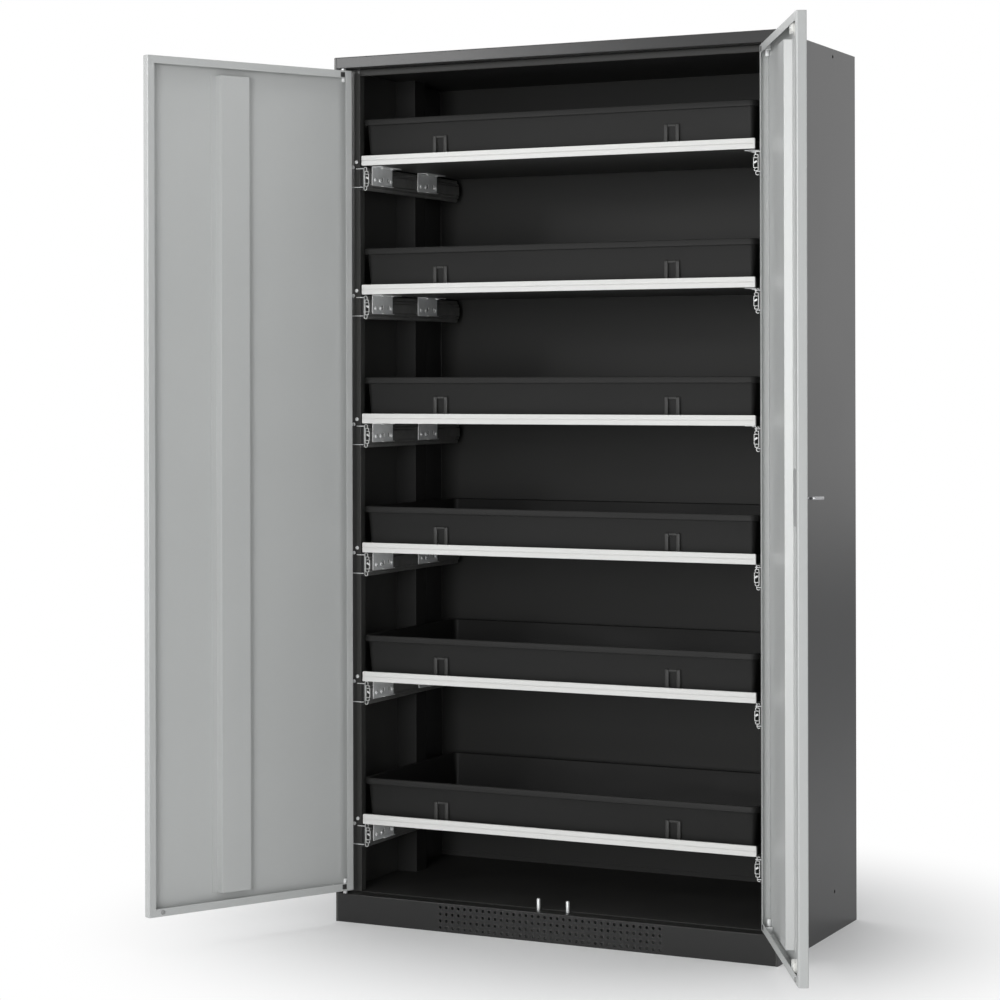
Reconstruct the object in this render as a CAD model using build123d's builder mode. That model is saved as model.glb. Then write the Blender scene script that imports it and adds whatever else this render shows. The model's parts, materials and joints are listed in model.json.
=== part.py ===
from build123d import *
from math import cos, radians, sin, tan
import os

# Chemical storage cabinet with two wing doors and six pull-out spill trays, in millimetres.
# X runs to the right seen from the front, Y to the rear and Z up. The origin is on the
# floor, under the middle of the cabinet body. The doors stand open, as in the picture.

# Overall size of the body
cabinet_width = 1055.0
cabinet_depth = 520.0
cabinet_height = 1950.0
body_sheet = 1.2
body_bend = 2.0
seam = 0.5
overrun = 5.0

# Numbers of sides of the small round pieces
hexagon_sides = 6
ring_sides = 8
pin_sides = 12
rosette_sides = 24

# Folds of the side panels
side_edge = 5.0
flange_setback = 34.0
flange_width = 47.0
flange_return = 20.0
rear_flange = 25.0

# Holes that join cabinets side by side
join_hole_radius = 4.0
join_hole_depth = 366.0
join_hole_rise = 91.0
join_hole_drop = 17.0

# Roof, plinth and the panels behind them
rim_height = 26.0
rim_return = 44.0
plinth_top = 64.0
plinth_flange = 44.0
base_return = 30.0
panel_setback = 36.0
panel_upturn = 12.0

# Perforated field of the plinth
vent_columns = 36
vent_rows = 4
vent_pitch = 15.0
vent_hole_size = 6.4

# Levelling feet and the corner gussets that carry them
gusset_size = 95.0
gusset_height = 20.0
foot_pad_radius = 14.0
foot_pad_height = 6.0
foot_stud_radius = 5.0
foot_inset = 62.0

# Wing doors
door_thickness = 20.0
door_sheet = 1.0
door_bend = 2.5
door_lip = 17.0
door_top_gap = 5.0
door_bottom_gap = 8.0
door_side_gap = 2.0
door_middle_gap = 1.5
pivot_inset = 20.8
pivot_depth = 5.5
open_angle = 118.0

# Hat profile inside each door
stiffener_reach = 302.0
stiffener_crown = 70.0
stiffener_slope = 4.0
stiffener_flange = 13.0
stiffener_depth = 17.0
stiffener_from_end = 32.0

# Pivot hinges
pin_radius = 3.0
pin_fit = 0.05
pin_reach = 9.0
bush_radius = 4.4
bush_seat = 0.05
bush_flange_radius = 5.3
bush_flange = 2.0
bush_length = 10.0
hinge_play = 0.3

# Door stops
stop_spacing = 70.0
stop_radius = 4.0
stop_height = 25.0
stop_play = 0.3
buffer_radius = 5.0
buffer_height = 3.5

# Lock and locking rods of the right door
lock_height = 995.0
lock_from_edge = 47.0
rosette_radius = 16.0
rosette_height = 2.5
rosette_edge = 1.2
sleeve_radius = 10.0
sleeve_length = 5.0
sleeve_clearance = 0.2
plug_radius = 7.0
plug_fit = 0.05
plug_recess = 0.6
cam_length = 34.0
cam_width = 12.0
cam_start = 6.0
cam_thickness = 3.5
key_slot_width = 8.4
key_slot_height = 2.4
key_slot_depth = 7.0
key_play = 0.2
key_reach = 38.0
key_shank = 9.0
key_bow_width = 24.0
key_bow_corner = 7.0
key_bow_thickness = 6.0
key_ring_radius = 3.5
case_width = 60.0
case_height = 110.0
case_depth = 15.0
case_wall = 1.5
case_rod_clearance = 0.3
rod_radius = 4.0
rod_depth = 8.5
rod_play = 0.1
rod_tip = 2.0
rod_from_lock = 20.0
rod_clearance = 1.0
guide_width = 24.0
guide_depth = 14.0
guide_height = 21.0
guide_from_end = 21.0

# Telescopic slides, three nested channels on each side
rail_inset = 52.0
rail_height = 53.0
rail_depth = 12.6
rail_thickness = 13.6
rail_sheet = 1.2
rail_gap = 0.4
rail_front = 41.0
rail_rear_gap = 29.0
rail_drop = 2.0
upright_front = 290.0
upright_width = 50.0
spacer_front = 37.0
spacer_length = 16.0

# Angle brackets between a slide and its shelf
bracket_sheet = 1.5
bracket_height = 43.0
bracket_leg = 25.0
bracket_length = 95.0
bracket_fronts = (55.0, 276.0)

# Pull-out shelves and their front bars
shelf_count = 6
shelf_top_drop = 196.0
shelf_low_rise = 178.0
low_gap_share = 1.1065
shelf_side_gap = 15.5
shelf_front = 30.0
shelf_rear_gap = 42.0
shelf_lip = 19.0
bar_side_gap = 9.0
bar_height = 22.0
bar_depth = 5.5
bar_corner = 1.5
bar_groove_width = 1.6
bar_groove_depth = 1.0

# Spill trays
tray_front = 27.5
tray_side_gap = 5.5
tray_rear_gap = 42.5
tray_above_bar = 82.0
tray_rim_overhang = 7.0
tray_rim_height = 14.0
tray_wall = 3.0
tray_corner = 16.0
tray_draft = 5.0
tray_corner_steps = 2
tray_catch_spacing = 557.0
tray_catch_width = 36.0
tray_catch_height = 42.0
tray_catch_arm = 9.5
tray_catch_bar = 6.0
tray_catch_proud = 5.0
tray_catch_sink = 1.0
tray_catch_below_bar = 3.0

# Planes and places that several pieces share
half_width = cabinet_width / 2
front_y = -cabinet_depth / 2
rear_y = cabinet_depth / 2
body_top = cabinet_height - body_sheet
rim_bottom = cabinet_height - rim_height
inner_half = half_width - body_sheet
front_half = half_width - side_edge - seam
flange_y = front_y + flange_setback
rear_panel_y = rear_y - body_sheet
panel_rear_y = rear_panel_y - body_sheet
panel_front_y = front_y + panel_setback
floor_top = plinth_top + body_sheet
ceiling_bottom = rim_bottom + body_sheet
rail_x = half_width - rail_inset
rail_rear_y = rear_y - rail_rear_gap
join_heights = (join_hole_rise, cabinet_height - join_hole_drop)
clear_half = half_width - flange_width
rail_length = cabinet_depth - rail_front - rail_rear_gap
shelf_width = 2 * (clear_half - shelf_side_gap)
shelf_depth = cabinet_depth - shelf_front - shelf_rear_gap
bar_width = 2 * (clear_half - bar_side_gap)
tray_width = 2 * (clear_half - tray_side_gap)
tray_depth = cabinet_depth - tray_front - tray_rear_gap

# The bars are evenly spaced, but for a wider gap above the lowest one
shelf_top_bar = rim_bottom - shelf_top_drop
shelf_low_bar = plinth_top + shelf_low_rise
shelf_pitch = (shelf_top_bar - shelf_low_bar) / (shelf_count - 2 + low_gap_share)
bar_tops = [shelf_top_bar - shelf_pitch * n for n in range(shelf_count - 1)] + [shelf_low_bar]

# The doors hang on upright axes near the front corners of the body
pivot_x = half_width - pivot_inset
pivot_y = front_y + pivot_depth
door_top = rim_bottom - door_top_gap
door_bottom = plinth_top + door_bottom_gap
door_hinge_edge = side_edge + door_side_gap - pivot_inset
door_free_edge = pivot_x - door_middle_gap
door_height = door_top - door_bottom
swing = radians(open_angle)
left_door_plane = Plane((-pivot_x, pivot_y, 0), x_dir=(cos(swing), -sin(swing), 0), z_dir=(0, 0, 1))
right_door_plane = Plane((pivot_x, pivot_y, 0), x_dir=(-cos(swing), -sin(swing), 0), z_dir=(0, 0, 1))
lock_x = door_free_edge - lock_from_edge
rod_y = pivot_depth - rod_depth
rod_hole_size = 2 * (rod_radius + rod_clearance)
case_slot_size = 2 * (rod_radius + case_rod_clearance)
closed_rod_place = (pivot_x - lock_x, front_y + rod_depth)

os.makedirs("parts", exist_ok=True)


def keep(piece, name):
    """Label a finished piece and write it under its name."""
    piece.part.label = name
    export_step(piece.part, f"parts/{name}.step")


def folded_section(points, thickness, bend=0):
    """Section of a sheet folded along a line of points, with its thickness on the line's left."""
    with BuildSketch() as section:
        with BuildLine():
            fold = FilletPolyline(*points, radius=bend) if bend else Polyline(*points)
            offset(fold, amount=thickness, kind=Kind.INTERSECTION, side=Side.LEFT)
        make_face()
    return section.sketch


def tray_outline(width, depth, corner):
    """Outline of a moulded tray, whose corners turn in a few even steps."""
    corners = []
    for quarter, (side, end) in enumerate(((1, 1), (-1, 1), (-1, -1), (1, -1))):
        centre = Vector(side * (width / 2 - corner), end * (depth / 2 - corner))
        for step in range(tray_corner_steps + 1):
            turn = 90 * (quarter + step / tray_corner_steps)
            corners.append(centre + Vector(corner, 0).rotate(Axis.Z, turn))
    with BuildSketch() as outline:
        with BuildLine():
            Polyline(*corners, close=True)
        make_face()
    return outline.sketch


# Side panels: one sheet each, folded round the front edge into a flange beside the opening
side_section = folded_section(
    [
        (half_width - flange_width, flange_y + flange_return),
        (half_width - flange_width, flange_y),
        (half_width - side_edge, flange_y),
        (half_width - side_edge, front_y),
        (half_width, front_y),
        (half_width, rear_y),
        (half_width - rear_flange, rear_y),
    ],
    body_sheet,
)
with BuildPart() as right_side_panel:
    with BuildSketch():
        add(side_section)
    extrude(amount=body_top)
    # The flange ends on the floor panel and under the roof rim
    notch_low_x = half_width - flange_width - overrun
    notch_width = half_width - side_edge - notch_low_x
    notch_depth = flange_setback + flange_return + 2 * overrun
    for low, high in ((-overrun, floor_top), (rim_bottom, body_top + overrun)):
        with BuildSketch(Plane.XY.offset(low)):
            with Locations((notch_low_x, front_y - overrun)):
                Rectangle(notch_width, notch_depth, align=(Align.MIN, Align.MIN))
        extrude(amount=high - low, mode=Mode.SUBTRACT)
    with BuildSketch(Plane.YZ.offset(half_width)):
        with Locations(*[(front_y + join_hole_depth, height) for height in join_heights]):
            Circle(join_hole_radius)
    extrude(amount=-body_sheet - overrun, mode=Mode.SUBTRACT)
keep(right_side_panel, "right_side_panel")

with BuildPart() as left_side_panel:
    mirror(right_side_panel.part, about=Plane.YZ)
keep(left_side_panel, "left_side_panel")

# Rear panel: a flat sheet on the rear flanges of the sides
with BuildPart() as rear_panel:
    with BuildSketch(Plane.XZ.offset(-rear_panel_y)):
        Rectangle(2 * (inner_half - body_bend), body_top, align=(Align.CENTER, Align.MIN))
    extrude(amount=body_sheet)
keep(rear_panel, "rear_panel")

# Roof: top sheet over both sides, with a deep front rim and a flange behind it
roof_section = folded_section(
    [
        (rear_y, cabinet_height),
        (front_y, cabinet_height),
        (front_y, rim_bottom),
        (front_y + rim_return, rim_bottom),
    ],
    body_sheet,
    body_bend,
)
with BuildPart() as roof:
    with BuildSketch(Plane.YZ):
        add(roof_section)
    extrude(amount=front_half, both=True)
    with BuildSketch(Plane.XY.offset(body_top)):
        with Locations((0, rear_y)):
            Rectangle(cabinet_width, cabinet_depth - body_bend, align=(Align.CENTER, Align.MAX))
    extrude(amount=body_sheet)
    with BuildSketch(Plane.XY.offset(rim_bottom - overrun)):
        with Locations(closed_rod_place):
            Rectangle(rod_hole_size, rod_hole_size)
    extrude(amount=body_sheet + 2 * overrun, mode=Mode.SUBTRACT)
keep(roof, "roof")

# Ceiling and floor panels, turned up where they meet the other sheets
ceiling_section = folded_section(
    [
        (panel_front_y, ceiling_bottom + panel_upturn),
        (panel_front_y, ceiling_bottom),
        (panel_rear_y, ceiling_bottom),
        (panel_rear_y, ceiling_bottom + panel_upturn),
    ],
    body_sheet,
)
with BuildPart() as ceiling_panel:
    with BuildSketch(Plane.YZ):
        add(ceiling_section)
    extrude(amount=inner_half, both=True)
keep(ceiling_panel, "ceiling_panel")

floor_section = folded_section(
    [
        (panel_front_y, plinth_top),
        (panel_rear_y, plinth_top),
        (panel_rear_y, plinth_top + panel_upturn),
    ],
    body_sheet,
)
with BuildPart() as floor_panel:
    with BuildSketch(Plane.YZ):
        add(floor_section)
    extrude(amount=inner_half, both=True)
keep(floor_panel, "floor_panel")

# Plinth: base frame under the floor panel. Its folded front plate has a perforated field
# that lets air in, and a flange runs round its foot.
plinth_section = folded_section(
    [
        (front_y + plinth_flange, plinth_top),
        (front_y, plinth_top),
        (front_y, 0),
        (front_y + base_return, 0),
    ],
    body_sheet,
    body_bend,
)
frame_low_y = front_y + body_bend
frame_depth = panel_rear_y - frame_low_y
flange_depth = panel_rear_y - front_y - 2 * base_return
gusset_x = front_half - gusset_size / 2
gusset_ys = (frame_low_y + gusset_size / 2, panel_rear_y - gusset_size / 2)
foot_x = half_width - foot_inset
foot_ys = (front_y + foot_inset, rear_y - foot_inset)
foot_places = [(x, y) for x in (-foot_x, foot_x) for y in foot_ys]
with BuildPart() as plinth:
    with BuildSketch(Plane.YZ):
        add(plinth_section)
    extrude(amount=front_half, both=True)
    with BuildSketch():
        with Locations((0, panel_rear_y)):
            Rectangle(2 * front_half, frame_depth, align=(Align.CENTER, Align.MAX))
        with Locations((0, panel_rear_y - base_return)):
            Rectangle(
                2 * (front_half - base_return),
                flange_depth,
                align=(Align.CENTER, Align.MAX),
                mode=Mode.SUBTRACT,
            )
    extrude(amount=body_sheet)
    with BuildSketch():
        with Locations((0, panel_rear_y)):
            Rectangle(2 * front_half, frame_depth, align=(Align.CENTER, Align.MAX))
        with Locations((0, panel_rear_y - body_sheet)):
            Rectangle(
                2 * (front_half - body_sheet),
                frame_depth,
                align=(Align.CENTER, Align.MAX),
                mode=Mode.SUBTRACT,
            )
    extrude(amount=plinth_top)
    with BuildSketch(Plane.XY.offset(gusset_height)):
        with Locations(*[(x, y) for x in (-gusset_x, gusset_x) for y in gusset_ys]):
            Rectangle(gusset_size, gusset_size)
    extrude(amount=body_sheet)
    with BuildSketch(Plane.XZ.offset(-front_y)):
        with Locations((0, plinth_top / 2)):
            with GridLocations(vent_pitch, vent_pitch, vent_columns, vent_rows):
                Rectangle(vent_hole_size, vent_hole_size)
    extrude(amount=-body_sheet - overrun, mode=Mode.SUBTRACT)
    with BuildSketch(Plane.XY.offset(plinth_top + overrun)):
        with Locations(closed_rod_place):
            Rectangle(rod_hole_size, rod_hole_size)
    extrude(amount=-body_sheet - 2 * overrun, mode=Mode.SUBTRACT)
keep(plinth, "plinth")

# Levelling feet: a six-sided pad on a hexagon stud that is screwed into its gusset
with BuildPart() as levelling_feet:
    with BuildSketch():
        with Locations(*foot_places):
            RegularPolygon(foot_pad_radius, hexagon_sides)
    extrude(amount=foot_pad_height)
    with BuildSketch(Plane.XY.offset(foot_pad_height)):
        with Locations(*foot_places):
            RegularPolygon(foot_stud_radius, hexagon_sides)
    extrude(amount=gusset_height - foot_pad_height)
keep(levelling_feet, "levelling_feet")

# Rear uprights: channels from the side skin to the slides, between floor and ceiling
upright_low_y = front_y + upright_front
upright_section = folded_section(
    [
        (inner_half, upright_low_y + upright_width),
        (rail_x, upright_low_y + upright_width),
        (rail_x, upright_low_y),
        (inner_half, upright_low_y),
    ],
    body_sheet,
)
with BuildPart() as right_upright:
    with BuildSketch(Plane.XY.offset(floor_top)):
        add(upright_section)
    extrude(amount=ceiling_bottom - floor_top)
keep(right_upright, "right_upright")

with BuildPart() as left_upright:
    mirror(right_upright.part, about=Plane.YZ)
keep(left_upright, "left_upright")

# Slide heights follow the front bars
bar_bottoms = [top - bar_height for top in bar_tops]
rail_centres = [bottom - rail_drop - rail_height / 2 for bottom in bar_bottoms]
rail_half = rail_height / 2
rail_step = rail_sheet + rail_gap

# Spacers between the front flange and the slides
with BuildPart() as rail_spacers:
    with BuildSketch(Plane.YZ.offset(rail_x)):
        with Locations(*[(front_y + spacer_front, centre) for centre in rail_centres]):
            Rectangle(spacer_length, rail_height, align=(Align.MIN, Align.CENTER))
    extrude(amount=rail_inset - flange_width)
    mirror(about=Plane.YZ)
keep(rail_spacers, "rail_spacers")

# Fixed channels of the slides
fixed_rail_section = folded_section(
    [(-rail_depth, -rail_half), (0, -rail_half), (0, rail_half), (-rail_depth, rail_half)],
    rail_sheet,
)
with BuildPart() as right_fixed_rails:
    with BuildSketch(Plane.XZ.offset(-rail_rear_y)):
        with Locations(*[(rail_x, centre) for centre in rail_centres]):
            add(fixed_rail_section)
    extrude(amount=rail_length)
keep(right_fixed_rails, "right_fixed_rails")

with BuildPart() as left_fixed_rails:
    mirror(right_fixed_rails.part, about=Plane.YZ)
keep(left_fixed_rails, "left_fixed_rails")

# Hinge pins: the lower ones stand on the plinth and the upper ones hang from the roof rim
with BuildPart() as hinge_pins:
    for seat, door_end, upward in ((plinth_top, door_bottom, 1), (rim_bottom, door_top, -1)):
        collar = upward * (door_end - seat) - bush_flange - hinge_play
        with BuildSketch(Plane.XY.offset(seat)):
            with Locations((-pivot_x, pivot_y), (pivot_x, pivot_y)):
                RegularPolygon(bush_flange_radius, hexagon_sides)
        extrude(amount=upward * collar)
        with BuildSketch(Plane.XY.offset(seat + upward * collar)):
            with Locations((-pivot_x, pivot_y), (pivot_x, pivot_y)):
                RegularPolygon(pin_radius, pin_sides)
        extrude(amount=upward * (bush_flange + hinge_play + pin_reach))
keep(hinge_pins, "hinge_pins")

# Stop pins that the closed doors rest against
stop_y = front_y + door_thickness + buffer_height + stop_play + stop_radius
with BuildPart() as stop_pins:
    with BuildSketch(Plane.XY.offset(plinth_top)):
        with Locations((-stop_spacing / 2, stop_y), (stop_spacing / 2, stop_y)):
            RegularPolygon(stop_radius, pin_sides)
    extrude(amount=stop_height)
keep(stop_pins, "stop_pins")

# Left door shell: a sheet pan with a return lip all round, drawn on the open door's plane.
# There x runs from the pivot to the free edge, y into the cabinet and z up.
door_outer_y = -pivot_depth
door_inner_y = door_thickness - pivot_depth
door_corner = (door_hinge_edge, door_outer_y)
door_width = door_free_edge - door_hinge_edge
low_corner = (Align.MIN, Align.MIN)
with BuildPart() as left_door_shell:
    with BuildSketch(left_door_plane.offset(door_bottom)):
        with Locations(door_corner):
            RectangleRounded(door_width, door_thickness, door_bend, align=low_corner)
    extrude(amount=door_height)
    with BuildSketch(left_door_plane.offset(door_bottom + door_sheet)):
        with Locations((door_hinge_edge + door_sheet, door_outer_y + door_sheet)):
            RectangleRounded(
                door_width - 2 * door_sheet,
                door_thickness - 2 * door_sheet,
                door_bend - door_sheet,
                align=low_corner,
            )
    extrude(amount=door_height - 2 * door_sheet, mode=Mode.SUBTRACT)
    with BuildSketch(left_door_plane.offset(door_bottom + door_lip)):
        with Locations((door_hinge_edge + door_lip, door_inner_y - 2 * door_sheet)):
            Rectangle(door_width - 2 * door_lip, 2 * door_sheet + overrun, align=low_corner)
    extrude(amount=door_height - 2 * door_lip, mode=Mode.SUBTRACT)
    # Seats of the hinge bushes in the top and bottom walls
    for wall in (door_bottom - overrun, door_top - door_sheet - overrun):
        with BuildSketch(left_door_plane.offset(wall)):
            RegularPolygon(bush_radius + bush_seat, hexagon_sides)
        extrude(amount=door_sheet + 2 * overrun, mode=Mode.SUBTRACT)
keep(left_door_shell, "left_door_shell")

# Hat profile that stiffens the door skin, short of the lips at both ends
stiffener_half = stiffener_crown / 2
stiffener_foot = stiffener_half + stiffener_slope
stiffener_end = stiffener_foot + stiffener_flange
stiffener_section = folded_section(
    [
        (-stiffener_end, 0),
        (-stiffener_foot, 0),
        (-stiffener_half, stiffener_depth - door_sheet),
        (stiffener_half, stiffener_depth - door_sheet),
        (stiffener_foot, 0),
        (stiffener_end, 0),
    ],
    door_sheet,
)
with BuildPart() as left_door_stiffener:
    with BuildSketch(left_door_plane.offset(door_bottom + stiffener_from_end)):
        with Locations((door_hinge_edge + stiffener_reach, door_outer_y + door_sheet)):
            add(stiffener_section)
    extrude(amount=door_height - 2 * stiffener_from_end)
keep(left_door_stiffener, "left_door_stiffener")

# Hinge bushes: six-sided so that they sit fast in the door, with a round bore that turns on the pin
with BuildPart() as left_hinge_bushes:
    for wall, inward in ((door_bottom, 1), (door_top, -1)):
        with BuildSketch(left_door_plane.offset(wall)):
            RegularPolygon(bush_flange_radius, hexagon_sides)
        extrude(amount=-inward * bush_flange)
        with BuildSketch(left_door_plane.offset(wall)):
            RegularPolygon(bush_radius, hexagon_sides)
        extrude(amount=inward * bush_length)
        with BuildSketch(left_door_plane.offset(wall - inward * bush_flange)):
            Circle(pin_radius + pin_fit)
        extrude(amount=inward * (bush_flange + bush_length), mode=Mode.SUBTRACT)
keep(left_hinge_bushes, "left_hinge_bushes")

# Rubber buffer on the lower lip, opposite its stop pin
buffer_centre = left_door_plane.from_local_coords(
    (pivot_x - stop_spacing / 2, door_inner_y, door_bottom + door_lip / 2)
)
buffer_plane = Plane(buffer_centre, x_dir=left_door_plane.x_dir, z_dir=left_door_plane.y_dir)
with BuildPart() as left_door_buffer:
    with BuildSketch(buffer_plane):
        RegularPolygon(buffer_radius, ring_sides)
    extrude(amount=buffer_height)
keep(left_door_buffer, "left_door_buffer")

# The right door is the left one's mirror image, with openings for the lock and its rods.
# On its plane x runs from the pivot to the free edge, y out of the cabinet and z up.
lock_centre = right_door_plane.from_local_coords((lock_x, pivot_depth, lock_height))
lock_plane = Plane(lock_centre, x_dir=-right_door_plane.x_dir, z_dir=right_door_plane.y_dir)
with BuildPart() as right_door_shell:
    mirror(left_door_shell.part, about=Plane.YZ)
    with BuildSketch(lock_plane.offset(overrun)):
        RegularPolygon(sleeve_radius + sleeve_clearance, hexagon_sides)
    extrude(amount=-door_sheet - 2 * overrun, mode=Mode.SUBTRACT)
    for wall in (door_bottom - overrun, door_top - door_sheet - overrun):
        with BuildSketch(right_door_plane.offset(wall)):
            with Locations((lock_x, rod_y)):
                Rectangle(rod_hole_size, rod_hole_size)
        extrude(amount=door_sheet + 2 * overrun, mode=Mode.SUBTRACT)
keep(right_door_shell, "right_door_shell")

with BuildPart() as right_door_stiffener:
    mirror(left_door_stiffener.part, about=Plane.YZ)
keep(right_door_stiffener, "right_door_stiffener")

with BuildPart() as right_hinge_bushes:
    mirror(left_hinge_bushes.part, about=Plane.YZ)
keep(right_hinge_bushes, "right_hinge_bushes")

with BuildPart() as right_door_buffer:
    mirror(left_door_buffer.part, about=Plane.YZ)
keep(right_door_buffer, "right_door_buffer")

# Lock rosette: a round flange on a six-sided sleeve, which the door skin and lock case keep from turning
with BuildPart() as lock_rosette:
    with BuildSketch(lock_plane):
        RegularPolygon(rosette_radius, rosette_sides)
    extrude(amount=rosette_height)
    rosette_face = lock_rosette.faces().sort_by(Axis(lock_centre, lock_plane.z_dir))[-1]
    chamfer(rosette_face.edges(), rosette_edge)
    with BuildSketch(lock_plane):
        RegularPolygon(sleeve_radius, hexagon_sides)
    extrude(amount=-sleeve_length)
    with BuildSketch(lock_plane.offset(rosette_height)):
        Circle(plug_radius + plug_fit)
    extrude(amount=-rosette_height - sleeve_length, mode=Mode.SUBTRACT)
keep(lock_rosette, "lock_rosette")

# Lock case on the inside of the skin, open for the sleeve and the two rods
with BuildPart() as lock_case:
    with BuildSketch(lock_plane.offset(-door_sheet)):
        Rectangle(case_width, case_height)
    extrude(amount=-case_depth)
    with BuildSketch(lock_plane.offset(-door_sheet - case_wall)):
        Rectangle(case_width - 2 * case_wall, case_height - 2 * case_wall)
    extrude(amount=-case_depth + 2 * case_wall, mode=Mode.SUBTRACT)
    with BuildSketch(lock_plane):
        RegularPolygon(sleeve_radius + sleeve_clearance, hexagon_sides)
    extrude(amount=-door_sheet - 2 * case_wall, mode=Mode.SUBTRACT)
    with BuildSketch(right_door_plane.offset(lock_height - case_height)):
        with Locations((lock_x, rod_y)):
            Rectangle(case_slot_size, case_slot_size)
    extrude(amount=2 * case_height, mode=Mode.SUBTRACT)
keep(lock_case, "lock_case")

# Lock plug with its cam: it turns in the rosette
with BuildPart() as lock_plug:
    with BuildSketch(lock_plane.offset(rosette_height - plug_recess)):
        Circle(plug_radius)
    extrude(amount=-rosette_height + plug_recess - cam_start)
    with BuildSketch(lock_plane.offset(-cam_start)):
        Rectangle(cam_length, cam_width)
    extrude(amount=-cam_thickness)
    with BuildSketch(lock_plane.offset(rosette_height)):
        Rectangle(key_slot_width, key_slot_height)
    extrude(amount=-key_slot_depth, mode=Mode.SUBTRACT)
keep(lock_plug, "lock_plug")

# Key: flat blade in the plug's slot, with a clipped bow outside
key_tip_y = pivot_depth + rosette_height - key_slot_depth + key_play
bow_low_y = pivot_depth + key_shank
bow_length = key_reach - key_shank
with BuildPart() as lock_key:
    with BuildSketch(right_door_plane.offset(lock_height)):
        with Locations((lock_x, key_tip_y)):
            Rectangle(
                key_slot_width - 2 * key_play,
                bow_low_y + key_bow_corner - key_tip_y,
                align=(Align.CENTER, Align.MIN),
            )
    extrude(amount=key_slot_height / 2 - key_play, both=True)
    with BuildSketch(right_door_plane.offset(lock_height)):
        with Locations((lock_x, bow_low_y)):
            key_bow = Rectangle(key_bow_width, bow_length, align=(Align.CENTER, Align.MIN))
        chamfer(key_bow.vertices(), key_bow_corner)
        with Locations((lock_x, bow_low_y + bow_length - 2 * key_ring_radius)):
            RegularPolygon(key_ring_radius, ring_sides, mode=Mode.SUBTRACT)
    extrude(amount=key_bow_thickness / 2, both=True)
keep(lock_key, "lock_key")

# Locking rods and the blocks that guide them
with BuildPart() as upper_rod:
    with BuildSketch(right_door_plane.offset(lock_height + rod_from_lock)):
        with Locations((lock_x, rod_y)):
            Circle(rod_radius)
    extrude(amount=door_top - rod_tip - lock_height - rod_from_lock)
keep(upper_rod, "upper_rod")

with BuildPart() as lower_rod:
    with BuildSketch(right_door_plane.offset(door_bottom + rod_tip)):
        with Locations((lock_x, rod_y)):
            Circle(rod_radius)
    extrude(amount=lock_height - rod_from_lock - door_bottom - rod_tip)
keep(lower_rod, "lower_rod")

guide_lows = (door_bottom + guide_from_end, door_top - guide_from_end - guide_height)
with BuildPart() as rod_guides:
    for low in guide_lows:
        with BuildSketch(right_door_plane.offset(low)):
            with Locations((lock_x, pivot_depth - door_sheet)):
                Rectangle(guide_width, guide_depth, align=(Align.CENTER, Align.MAX))
            with Locations((lock_x, rod_y)):
                Circle(rod_radius + rod_play, mode=Mode.SUBTRACT)
        extrude(amount=guide_height)
keep(rod_guides, "rod_guides")

# Sections of the moving channels, nested in the fixed one
middle_half = rail_half - rail_step
middle_rail_section = folded_section(
    [
        (-rail_depth, -middle_half),
        (-rail_step, -middle_half),
        (-rail_step, middle_half),
        (-rail_depth, middle_half),
    ],
    rail_sheet,
)
inner_half_height = middle_half - rail_step
inner_rail_section = folded_section(
    [
        (-2 * rail_step, inner_half_height),
        (-rail_thickness, inner_half_height),
        (-rail_thickness, -inner_half_height),
        (-2 * rail_step, -inner_half_height),
    ],
    rail_sheet,
)
bracket_top = rail_half + rail_drop
bracket_section = folded_section(
    [
        (-rail_thickness, bracket_top - bracket_height),
        (-rail_thickness, bracket_top),
        (-rail_thickness - bracket_leg, bracket_top),
    ],
    bracket_sheet,
)

# Spill tray sizes: the wall leans out to the rim, which overhangs it
tray_rise = bar_height + tray_above_bar - body_sheet
tray_lean = 2 * tray_rise * tan(radians(tray_draft))
tray_mouth_width = tray_width - 2 * tray_rim_overhang
tray_mouth_depth = tray_depth - 2 * tray_rim_overhang
tray_base_width = tray_mouth_width - tray_lean
tray_base_depth = tray_mouth_depth - tray_lean
tray_rim_corner = tray_corner + tray_rim_overhang
tray_base_corner = tray_corner - tray_lean / 2
tray_base_outline = tray_outline(tray_base_width, tray_base_depth, tray_base_corner)
tray_cavity_outline = tray_outline(
    tray_base_width - 2 * tray_wall, tray_base_depth - 2 * tray_wall, tray_base_corner - tray_wall
)
tray_rim_outline = tray_outline(tray_width, tray_depth, tray_rim_corner)
tray_mouth_outline = tray_outline(
    tray_mouth_width - tray_wall, tray_mouth_depth - tray_wall, tray_corner - tray_wall / 2
)
tray_lip_outline = tray_outline(
    tray_width - 2 * tray_wall, tray_depth - 2 * tray_wall, tray_rim_corner - tray_wall
)
tray_y = front_y + tray_front + tray_depth / 2
tray_base_front_y = tray_y - tray_base_depth / 2
catch_low_y = tray_base_front_y - tray_catch_height * tan(radians(tray_draft)) - tray_catch_proud

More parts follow.
